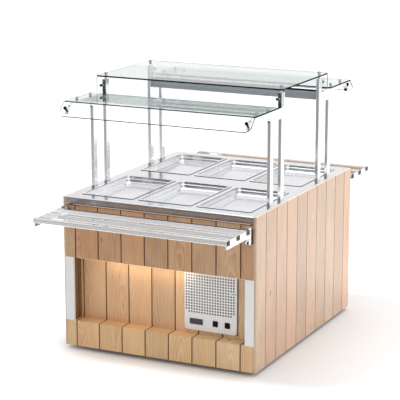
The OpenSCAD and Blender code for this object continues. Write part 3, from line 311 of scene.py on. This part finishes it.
def oak(name, run, start, pale, deep, joint, lacquer=0.45, top=None, coats=0.0):
    """Lacquered oak boards that stand side by side along run, X or Y."""
    made, tree, shader = material(name)
    place = coords(tree)
    from_start = calc(tree, "SUBTRACT", along_axis(tree, place, run), start)
    count = calc(tree, "DIVIDE", from_start, plank_pitch)
    board = calc(tree, "FLOOR", count)
    across = calc(tree, "SUBTRACT", count, board)
    lot = add(tree, "TexWhiteNoise", {"noise_dimensions": "1D"}, W=board).outputs["Color"]
    luck_x, luck_y, luck_z = (along_axis(tree, lot, axis) for axis in "XYZ")
    shift = add(tree, "VectorMath", {"operation": "SCALE"}, i0=lot,
                Scale=grain_shift).outputs[0]
    # A knot every metre or so, about 20 mm wide, that pushes the rings aside
    knots = add(tree, "TexVoronoi", Scale=1.0, Vector=calc_vector(
        tree, "ADD", calc_vector(tree, "DIVIDE", place, knot_cell), shift))
    rare = spread(tree, along_axis(tree, knots.outputs["Color"], "X"), *knot_cells_kept)
    off = knots.outputs["Distance"]
    knot = calc(tree, "MULTIPLY", rare, spread(tree, off, 0.05, 0.14, 1.0, 0.0))
    bulge = calc(tree, "MULTIPLY", rare, spread(tree, off, 0.0, 0.42, 1.0, 0.0))
    # The board is a slice of a leaning log: its rings cut the face in arches
    side = total(tree, (luck_x, 2.0), start=calc(tree, "SUBTRACT", across, 1.5))
    side = calc(tree, "MULTIPLY", side, plank_pitch)
    lean = calc(tree, "MULTIPLY", calc(tree, "SUBTRACT", luck_y, 0.5), most_lean)
    sway = cells(tree, place, (0.3, 0.3, 0.5), 2.0, shift)
    depth = total(tree, (along_axis(tree, place, "Z"), lean), (sway, 0.11))
    radius = calc(tree, "SQRT", total(tree, (side, side), (depth, depth)))
    wander = cells(tree, place, (0.02, 0.02, 0.2), 2.0, shift)
    radius = total(tree, (bulge, 0.018), (wander, 0.008), start=radius)
    # Each ring darkens slowly and ends sharply
    rings = calc(tree, "FRACT", calc(tree, "DIVIDE", radius, ring_pitch))
    rings = calc(tree, "MULTIPLY", spread(tree, rings, 0.0, 0.75),
                 spread(tree, rings, 0.82, 1.0, 1.0, 0.0))
    # Fibres are 0.5 mm wide; they are drawn 3 mm wide so that they show
    fibres = cells(tree, place, (0.003, 0.003, 0.09), offset=shift)
    pores = cells(tree, place, (0.0035, 0.0035, 0.03), 2.0, shift)
    pores = spread(tree, pores, 0.62, 0.72)
    patch = cells(tree, place, (0.09, 0.09, 0.3), 2.0, shift)
    share = total(tree, (rings, 0.27), (fibres, 0.5), (pores, 0.22), (patch, 0.55))
    share = calc(tree, "ADD", share, spread(tree, luck_x, 0.0, 1.0, -0.58, -0.20))
    grain = blend(tree, spread(tree, share, 0.0, 1.0), pale, deep)
    grain = blend(tree, calc(tree, "MULTIPLY", knot, 0.75), grain, joint)
    toned = add(tree, "HueSaturation", Color=grain,
                Hue=spread(tree, luck_y, 0.0, 1.0, 0.494, 0.506),
                Value=spread(tree, luck_z, 0.0, 1.0, 0.92, 1.06),
                Saturation=spread(tree, luck_y, 0.0, 1.0, 1.06, 0.9)).outputs[0]
    # The joint between two boards is darker
    off_middle = calc(tree, "ABSOLUTE", calc(tree, "SUBTRACT", across, 0.5))
    off_joint = calc(tree, "ABSOLUTE", calc(tree, "SUBTRACT", off_middle, 0.5))
    gap = spread(tree, calc(tree, "MULTIPLY", off_joint, plank_pitch),
                 joint_half * 0.55, joint_half * 1.25, 1.0, 0.0)
    coat = blend(tree, gap, toned, joint)
    if top:
        # The upper edge is painted paler than the faces, a painted highlight
        up = along_axis(tree, coords(tree, "Normal"), "Z")
        coat = blend(tree, spread(tree, up, 0.6, 0.8), coat, top)
    fill(tree, shader, Base_Color=coat, Specular_IOR_Level=0.5 + 0.5 * coats,
         Coat_Weight=coats, Coat_Roughness=0.35,
         Roughness=spread(tree, fibres, 0.2, 0.8, lacquer - 0.06, lacquer + 0.1),
         Normal=bump(tree, 0.25, 0.0006, fibres))
    return made


def dress(finish, *names):
    """Gives CAD nodes their finish in the material slots that they have."""
    for name in names:
        for slot in nodes[name].material_slots:
            slot.material = finish


dress(oak("oak_front", "X", front_start, "#E2B387", "#8B5B31", "#3C2110"),
      "front_fascia", "back_panel")
# The plinth and the recess wall are the front oak painted paler, as painted light, and the recess
# cheeks the same oak painted darker, as painted shade
dress(oak("oak_plinth", "X", front_start, "#FFD8A4", "#BC8755", "#4A2A14"), "front_plinth")
dress(oak("oak_recess", "X", front_start, "#FCD2A4", "#B68456", "#4A2A14", 0.5), "recess_wall")
dress(oak("oak_cheek", "Y", cheek_start, "#8E6A48", "#5E4128", "#24120A", 0.5), "recess_cheeks")
# The lacquer is given more sheen here, so that the white studio pales these sides
# from aslant, as the photograph shows; how they are coated is a guess
# The pale upper-edge colour given here is a painted highlight
dress(oak("oak_side", "Y", side_start, "#E2B58C", "#8E6038", "#4A2C18", 0.42, "#F3E6D6", 1.0),
      "side_panel_left", "side_panel_right")

# ---------------------------------------------------------------- counter
# Counter, posts, arms and rails are stainless steel, ground with a belt along
# their length, which leaves fine lines and a soft sheen.
# Scratches are 0.1 mm wide; they are drawn 1.5 mm wide so that they show
scratch_width = 0.0015
scratch_length = 0.22


def brushed(name, along, colour, dark, gloss, brushing=0.08, relief=0.12, lip_shade=None):
    """Belt-ground stainless steel with its scratches running along an axis."""
    made, tree, shader = material(name)
    place = coords(tree)
    size = [scratch_width] * 3
    size["XYZ".index(along)] = scratch_length
    lines = cells(tree, place, size)
    clouds = cells(tree, place, 0.25)
    share = total(tree, (lines, 0.6), (clouds, 0.4))
    coat = blend(tree, spread(tree, share, *noise_band), colour, dark)
    if lip_shade:
        # The folded lips are drawn greyer, to match the photograph; the grey is a painted
        # reflection of the darker space in front of them. The folded lips are drawn
        # greyer, to match the photograph; why is a guess
        faced = calc(tree, "ABSOLUTE", along_axis(tree, coords(tree, "Normal"), "Y"))
        coat = blend(tree, spread(tree, faced, 0.7, 0.95), coat, lip_shade)
    fill(tree, shader, Base_Color=coat, Metallic=1.0,
         Roughness=spread(tree, lines, *noise_band, gloss - brushing / 2, gloss + brushing / 2),
         Normal=bump(tree, relief, 0.0002, lines))
    return made


dress(brushed("ground_steel_counter", "X", "#F8F8FA", "#EFEFF2", 0.17, lip_shade="#AFA9AA"),
      "counter_top")
dress(brushed("ground_steel_upright", "Z", "#F8F8F9", "#ECEDEE", 0.16, 0.04, 0.04),
      "tall_posts", "short_posts", "guard_arms")
dress(brushed("ground_steel_rails", "X", "#FFFFFF", "#F6F5F8", 0.15, relief=0.05),
      "tray_rails_front", "tray_rails_back")
dress(brushed("ground_steel_brackets", "Y", "#F6F7F7", "#E2E4E6", 0.25),
      "tray_brackets_front", "tray_brackets_back")

# ---------------------------------------------------------------- pans and well
# The pans are pressed from thin stainless sheet, brighter than the counter and
# without brush lines.
pressed, tree, shader = material("pressed_steel")
place = coords(tree)
clouds = cells(tree, place, (0.09, 0.09, 0.03), 4.0)
# The turned edge and the mouth's upper corner are drawn with a dark line of painted shade,
# which is a guess; it starts just below the turned edge and ends just below the top
low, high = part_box("pan_front_left")
shade_line_start = (0.0365, 0.0372)
shade_line_end = (0.0008, 0.0002)
height = along_axis(tree, place, "Z")
level = calc(tree, "ABSOLUTE", along_axis(tree, coords(tree, "Normal"), "Z"))
above = spread(tree, height, *(low.z + rise for rise in shade_line_start))
below = spread(tree, height, *(high.z - drop for drop in shade_line_end), 1.0, 0.0)
steep = spread(tree, level, 0.5, 0.8, 0.9, 0.0)
edge = calc(tree, "MULTIPLY", above, calc(tree, "MULTIPLY", below, steep))
fill(tree, shader, Metallic=1.0,
     Base_Color=blend(tree, edge, blend(tree, clouds, "#FBFAFC", "#EDECF0"), "#2A2B2F"),
     Roughness=spread(tree, clouds, *noise_band, 0.10, 0.15),
     Normal=bump(tree, 0.15, 0.0004, cells(tree, place, (0.06, 0.06, 0.04), 1.0)))

# Inset from the rim's outer edge, height below the rim's top and corner radius
# of the rings that make a pan, in mm: first the inside, from the turned-down
# edge over rim, wall and stacking shoulder to the bend into the floor
inside = [(0, 2.9, 14), (0, 0.9, 14), (0.3, 0.3, 14), (0.9, 0, 14), (10.2, 0, 30),
          (11.2, 0.4, 30), (11.8, 1.4, 30), (12.4, 12.6, 29), (12.8, 13.8, 29),
          (14.6, 14.6, 27), (15.4, 15.6, 26), (16.6, 27.8, 25)]
wall_inset, wall_drop, wall_radius = inside[-1]
bend_radius = 11.0
bend_steps = 6
for step in range(1, bend_steps + 1):
    turn = math.radians(90 * step / bend_steps)
    inwards = 1 - math.cos(turn)
    inside.append((wall_inset + bend_radius * inwards, wall_drop + bend_radius * math.sin(turn),
                   wall_radius - 0.6 * bend_radius * inwards))
# The same path a sheet's thickness further out, back to the edge
outside = [(27.6, 40.0, 19), (20.0, 38.4, 21), (16.6, 34.8, 24), (15.4, 27.8, 26),
           (14.2, 15.6, 27), (11.6, 14.6, 29), (11.2, 12.6, 30), (10.4, 1.9, 31),
           (9.6, 1.2, 30), (1.2, 1.2, 13), (1.2, 2.9, 13)]
corner_steps = 8
pan_crease = math.radians(40)


def pressed_pan(low, high):
    """Fills a mesh with one pan, between the corners of its CAD node."""
    def build(shape):
        middle = (low + high) / 2
        half = (high - low) / 2
        rings = []
        for inset, drop, radius in inside + outside:
            centre = (inset + radius) / 1000
            reach = radius / 1000
            ring = []
            for corner, (sx, sy) in enumerate(((1, 1), (-1, 1), (-1, -1), (1, -1))):
                for step in range(corner_steps + 1):
                    turn = math.radians(90 * corner + 90 * step / corner_steps)
                    ring.append(shape.verts.new((
                        middle.x + sx * (half.x - centre) + reach * math.cos(turn),
                        middle.y + sy * (half.y - centre) + reach * math.sin(turn),
                        high.z - drop / 1000)))
            rings.append(ring)
        around = len(rings[0])
        # The floor's two faces close the path, which otherwise runs on as a band
        last = len(inside) - 1
        for number, ring in enumerate(rings):
            following = rings[(number + 1) % len(rings)]
            if number != last:
                for i in range(around):
                    j = (i + 1) % around
                    shape.faces.new((ring[i], ring[j], following[j], following[i]))
        shape.faces.new(rings[last])
        shape.faces.new(rings[last + 1][::-1])
    return build


for row in ("front", "back"):
    for place in ("left", "middle", "right"):
        node = f"pan_{row}_{place}"
        pan = mesh_piece("pressed_" + node, pressed_pan(*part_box(node)))
        pan.data.polygons.foreach_set("use_smooth", [True] * len(pan.data.polygons))
        pan.data.set_sharp_from_angle(angle=pan_crease)
        pan.data.materials.append(pressed)
        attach(pan, node)
        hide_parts(node)
dress(brushed("mill_steel", "Y", "#C9CCCE", "#AEB2B5", 0.4), "well_tub", "machine_tray")

foam, tree, shader = material("poured_foam")
pits = cells(tree, coords(tree), 0.004)
fill(tree, shader, Base_Color=blend(tree, pits, "#E6DCA8", "#CBBE86"), Roughness=0.85,
     Normal=bump(tree, 0.6, 0.002, pits))
dress(foam, "well_foam")

# ---------------------------------------------------------------- glass
# Panes of 8 mm toughened float glass with ground edges. Iron in the glass
# tints it green, so an edge, which is seen through its length, looks dark.
upright_tilt = math.radians(90)
visor_tilt = math.radians(46.5)


def float_glass(name, tilt):
    """Clear glass with dark edges; tilt turns the back pane's normal from up."""
    made, tree, shader = material(name)
    flat = Matrix.Rotation(tilt, 3, "X") @ Vector((0, 0, 1))
    place = coords(tree)
    # The front panes mirror the back ones, so the normal's Y changes sign with Y
    side = calc(tree, "SIGN", along_axis(tree, place, "Y"))
    facing = coords(tree, "Normal")
    outwards = calc(tree, "MULTIPLY", side, along_axis(tree, facing, "Y"))
    faced = total(tree, (outwards, -flat.y), (along_axis(tree, facing, "Z"), flat.z))
    rim = spread(tree, calc(tree, "ABSOLUTE", faced), 0.80, 0.92, 1.0, 0.0)
    fill(tree, shader, Base_Color=linear("#F6FBFA"), Roughness=0.02, IOR=1.5,
         Transmission_Weight=1.0)
    # The ground edge hides the inside of the pane
    streaks = cells(tree, place, (0.05, 0.05, 0.01), 2.0)
    ground = add(tree, "BsdfPrincipled", Roughness=0.5, IOR=1.5, Specular_IOR_Level=0.0,
                 Base_Color=blend(tree, streaks, "#123430", "#05201C"))
    body = add(tree, "MixShader", Fac=rim, i1=shader.outputs[0], i2=ground.outputs[0])
    # Light passes a pane straight through, so its shadow is faint
    clear = add(tree, "BsdfTransparent", Color=linear("#EAF2F1"))
    whole = add(tree, "MixShader", Fac=seen_by(tree, "Shadow"), i1=body.outputs[0],
                i2=clear.outputs[0])
    fill(tree, tree.nodes["Material Output"], Surface=whole.outputs[0])
    return made


dress(float_glass("float_glass_level", 0.0), "roof_glass", "shelf_glass")
dress(float_glass("float_glass_upright", upright_tilt), "upright_glass")
dress(float_glass("float_glass_sloped", visor_tilt), "visor_glass")

# ---------------------------------------------------------------- fixings
# Turned stainless stand-offs and caps hold the panes; black nylon knobs with a
# fine moulded grain close the bolts.
turned, tree, shader = material("turned_steel")
place = coords(tree)
rings = cells(tree, place, (0.02, 0.02, 0.0008), 2.0)
# The caps outside the sloped panes are drawn black, which is a guess
shelf_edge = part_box("shelf_glass")[1].y
black_after = 0.001
outer = spread(tree, calc(tree, "ABSOLUTE", along_axis(tree, place, "Y")),
               shelf_edge, shelf_edge + black_after)
fill(tree, shader, Metallic=1.0, Roughness=spread(tree, rings, *noise_band, 0.1, 0.22),
     Base_Color=blend(tree, outer, blend(tree, rings, "#DADCDE", "#A9ADB1"), "#141416"))
dress(turned, "glass_studs")


def moulded(name, colour, bloom, gloss, grit=0.0012, sheen=0.5):
    """Injection-moulded plastic: an even colour with a fine spark grain."""
    made, tree, shader = material(name)
    place = coords(tree)
    # Spark grain is 0.2 mm; it is drawn as coarse as grit so that it shows
    grain = cells(tree, place, grit, 2.0)
    clouds = cells(tree, place, 0.03, 2.0)
    fill(tree, shader, Base_Color=blend(tree, clouds, colour, bloom), Specular_IOR_Level=sheen,
         Roughness=spread(tree, grain, *noise_band, gloss - 0.05, gloss + 0.08),
         Normal=bump(tree, 0.25, 0.0003, grain))
    return made


dress(moulded("black_nylon", "#08080A", "#121316", 0.42),
      "glass_knobs", "rail_caps_front", "rail_caps_back", "tray_hinges", "cable_gland",
      "fan_blades", "fan_housing")

# ---------------------------------------------------------------- controls
# The grille panel and the corner profiles are punched and folded sheet with a
# white powder coat, whose orange peel breaks up the highlight.
powder, tree, shader = material("white_powder_coat")
place = coords(tree)
peel = cells(tree, place, 0.0025, 2.0)
clouds = cells(tree, place, 0.08, 2.0)
fill(tree, shader, Base_Color=blend(tree, clouds, "#FCFCFC", "#F3F4F6"), Roughness=0.3,
     Normal=bump(tree, 0.2, 0.0004, peel))
# Their screws are painted with them
dress(powder, "grille_panel", "corner_profiles", "panel_screws")
dress(moulded("charcoal_abs", "#36333C", "#403C45", 0.4), "thermostat")
dress(moulded("black_abs", "#040506", "#08090B", 0.5, sheen=0.15),
      "switch_frames", "light_rocker", "power_rocker")

# A pleated grey dust filter lies behind most of the holes, in a black tray that
# shows through the first columns and the lowest rows. What it is, is a guess
# from the tones in the holes.
pleat = 0.008
fleece_thick = 0.0008
tray_corner = 0.005
mat_inset = 0.006
tray_inset = 0.003
# The black strip outside the panel's edge is painted shadow
shadow_strip_out = 0.0035
shadow_strip_thick = 0.003


def pleated(low, high):
    """Fills a mesh with fleece folded to and fro, its pleats upright."""
    def build(shape):
        width = high.x - low.x
        folds = round(width / pleat * 2)
        rows = []
        for z in (low.z, high.z):
            front = [shape.verts.new((low.x + width * i / folds,
                                      high.y - fleece_thick if i % 2 else low.y, z))
                     for i in range(folds + 1)]
            back = [shape.verts.new(v.co + Vector((0, fleece_thick, 0))) for v in front]
            rows.append((front, back))
        (front, back), (front_top, back_top) = rows
        for i in range(folds):
            for a, b in ((front, front_top), (back_top, back), (back, front),
                         (front_top, back_top)):
                shape.faces.new((a[i], a[i + 1], b[i + 1], b[i]))
        for i in (0, folds):
            shape.faces.new((front[i], front_top[i], back_top[i], back[i]))
    return build


def shallow_tray(low, high, rim, deep):
    """Fills a mesh with a plate that has rounded corners and a rim to the front."""
    def build(shape):
        bmesh.ops.create_cube(shape, size=1.0, matrix=Matrix.LocRotScale(
            (low + high) / 2, None, high - low))
        corners = [edge for edge in shape.edges
                   if abs(edge.verts[0].co.y - edge.verts[1].co.y) > 1e-4]
        bmesh.ops.bevel(shape, geom=corners, offset=tray_corner, segments=4, affect="EDGES")
        face = min(shape.faces, key=lambda face: face.calc_center_median().y)
        bmesh.ops.inset_region(shape, faces=[face], thickness=rim, depth=0.0)
        bmesh.ops.translate(shape, verts=face.verts, vec=(0, deep, 0))
    return build


low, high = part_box("grille_panel")
mat_low = Vector((low.x + 0.0515, low.y + 0.0017, low.z + 0.146))
mat_high = Vector((high.x - mat_inset, low.y + 0.0052, high.z - mat_inset))
mat = mesh_piece("filter_mat", pleated(mat_low, mat_high))
fleece, tree, shader = material("filter_fleece")
fluff = cells(tree, coords(tree), 0.003, 4.0)
fill(tree, shader, Base_Color=blend(tree, fluff, "#555A63", "#33373E"), Roughness=0.95,
     Normal=bump(tree, 0.8, 0.002, fluff))
mat.data.materials.append(fleece)
tray_low = Vector((low.x + tray_inset, low.y + 0.0016, low.z + 0.088))
tray_high = Vector((high.x - tray_inset, low.y + 0.0078, high.z - tray_inset))
tray = mesh_piece("filter_tray", shallow_tray(tray_low, tray_high, rim=0.0012, deep=0.0042))
tray.data.materials.append(moulded("black_polypropylene", "#020203", "#050506", 0.6, sheen=0.1))
# A black strip round the panel's back edge is painted shadow, standing for the dark gap between
# the panel and the planks
shadow_strip_low = Vector((low.x - shadow_strip_out, high.y - shadow_strip_thick, low.z - shadow_strip_out))
shadow_strip_high = Vector((high.x + shadow_strip_out, high.y, high.z + shadow_strip_out))
shadow_strip = mesh_piece("grille_shadow_strip", shallow_tray(shadow_strip_low, shadow_strip_high, rim=0.006, deep=0.001))
shadow_strip.data.materials.append(moulded("shadow_black", "#0A0A0B", "#121213", 0.7))
for piece in (mat, tray, shadow_strip):
    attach(piece, "cabinet")

# ---------------------------------------------------------------- cooling
# Behind the grille: an aluminium condenser, its fan, and the black compressor
# on a sheet tray.
dress(brushed("fin_stock", "Z", "#E8ECF2", "#C9D0DA", 0.4), "condenser")
dress(moulded("black_enamel", "#0C0C0E", "#17181A", 0.3, 0.004), "compressor")
dress(moulded("frame_powder", "#1A1B1D", "#26282B", 0.5, 0.002), "base_frame")

# ---------------------------------------------------------------- lamps
# Opal strips: one under the recess ceiling, which glows warm on the recess
# wall, and one under each light box.


def opal(name, colour, strength):
    """Opal acrylic lit from behind, a little uneven between its diodes."""
    made, tree, shader = material(name)
    spots = cells(tree, coords(tree), 0.02, 2.0)
    fill(tree, shader, Base_Color=blend(tree, spots, colour, "#FFFFFF"), Roughness=0.4,
         Emission_Color=linear(colour), Emission_Strength=strength)
    return made


# The light boxes are drawn satin grey with darker tops, both of which are guesses; the darker
# tops are painted shade
satin, tree, shader = material("satin_grey_sheet")
grain = cells(tree, coords(tree), (0.2, 0.003, 0.003), 2.0)
top = spread(tree, along_axis(tree, coords(tree, "Normal"), "Z"), 0.7, 0.95)
fill(tree, shader, Specular_IOR_Level=0.0,
     Roughness=spread(tree, grain, *noise_band, 0.55, 0.65),
     Base_Color=blend(tree, top, blend(tree, grain, "#A6A8AF", "#909399"), "#15181A"))
dress(satin, "light_boxes")

dress(opal("warm_opal", "#FFE6BE", 0.5), "recess_lamp")
dress(opal("white_opal", "#D8DCE2", 0.08), "light_lenses")
# In the photograph the recess is lit from short of the lamp's left end to just
# past the grille panel's edge, so the glow is drawn that long; why is a guess
unlit = 0.16
past_grille = 0.06
glow_width = 0.014
glow_power = 0.26
low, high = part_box("recess_lamp")
low.x += unlit
lit_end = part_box("grille_panel")[0].x + past_grille
glow_x = (low.x + lit_end) / 2
lamp("recess_glow", (glow_x, (low.y + high.y) / 2, low.z - 0.002),
     (glow_x, high.y + 0.03, low.z - 0.3), (lit_end - low.x, glow_width), glow_power, "#FFF0D8")

# ---------------------------------------------------------------- castors
# Zinc-plated pressed forks with grey rubber wheels; the front two have a red
# foot brake.
corners = ("fl", "fr", "bl", "br")
dress(brushed("zinc_plate", "X", "#C6CACD", "#A7ACB1", 0.36),
      "castor_plates", *[f"castor_fork_{corner}" for corner in corners])
dress(moulded("grey_rubber", "#3A3A3C", "#4A4A4C", 0.7, 0.003),
      *[f"castor_wheel_{corner}" for corner in corners])
dress(moulded("red_nylon", "#A01812", "#8A120E", 0.35), "brake_pedal_left", "brake_pedal_right")
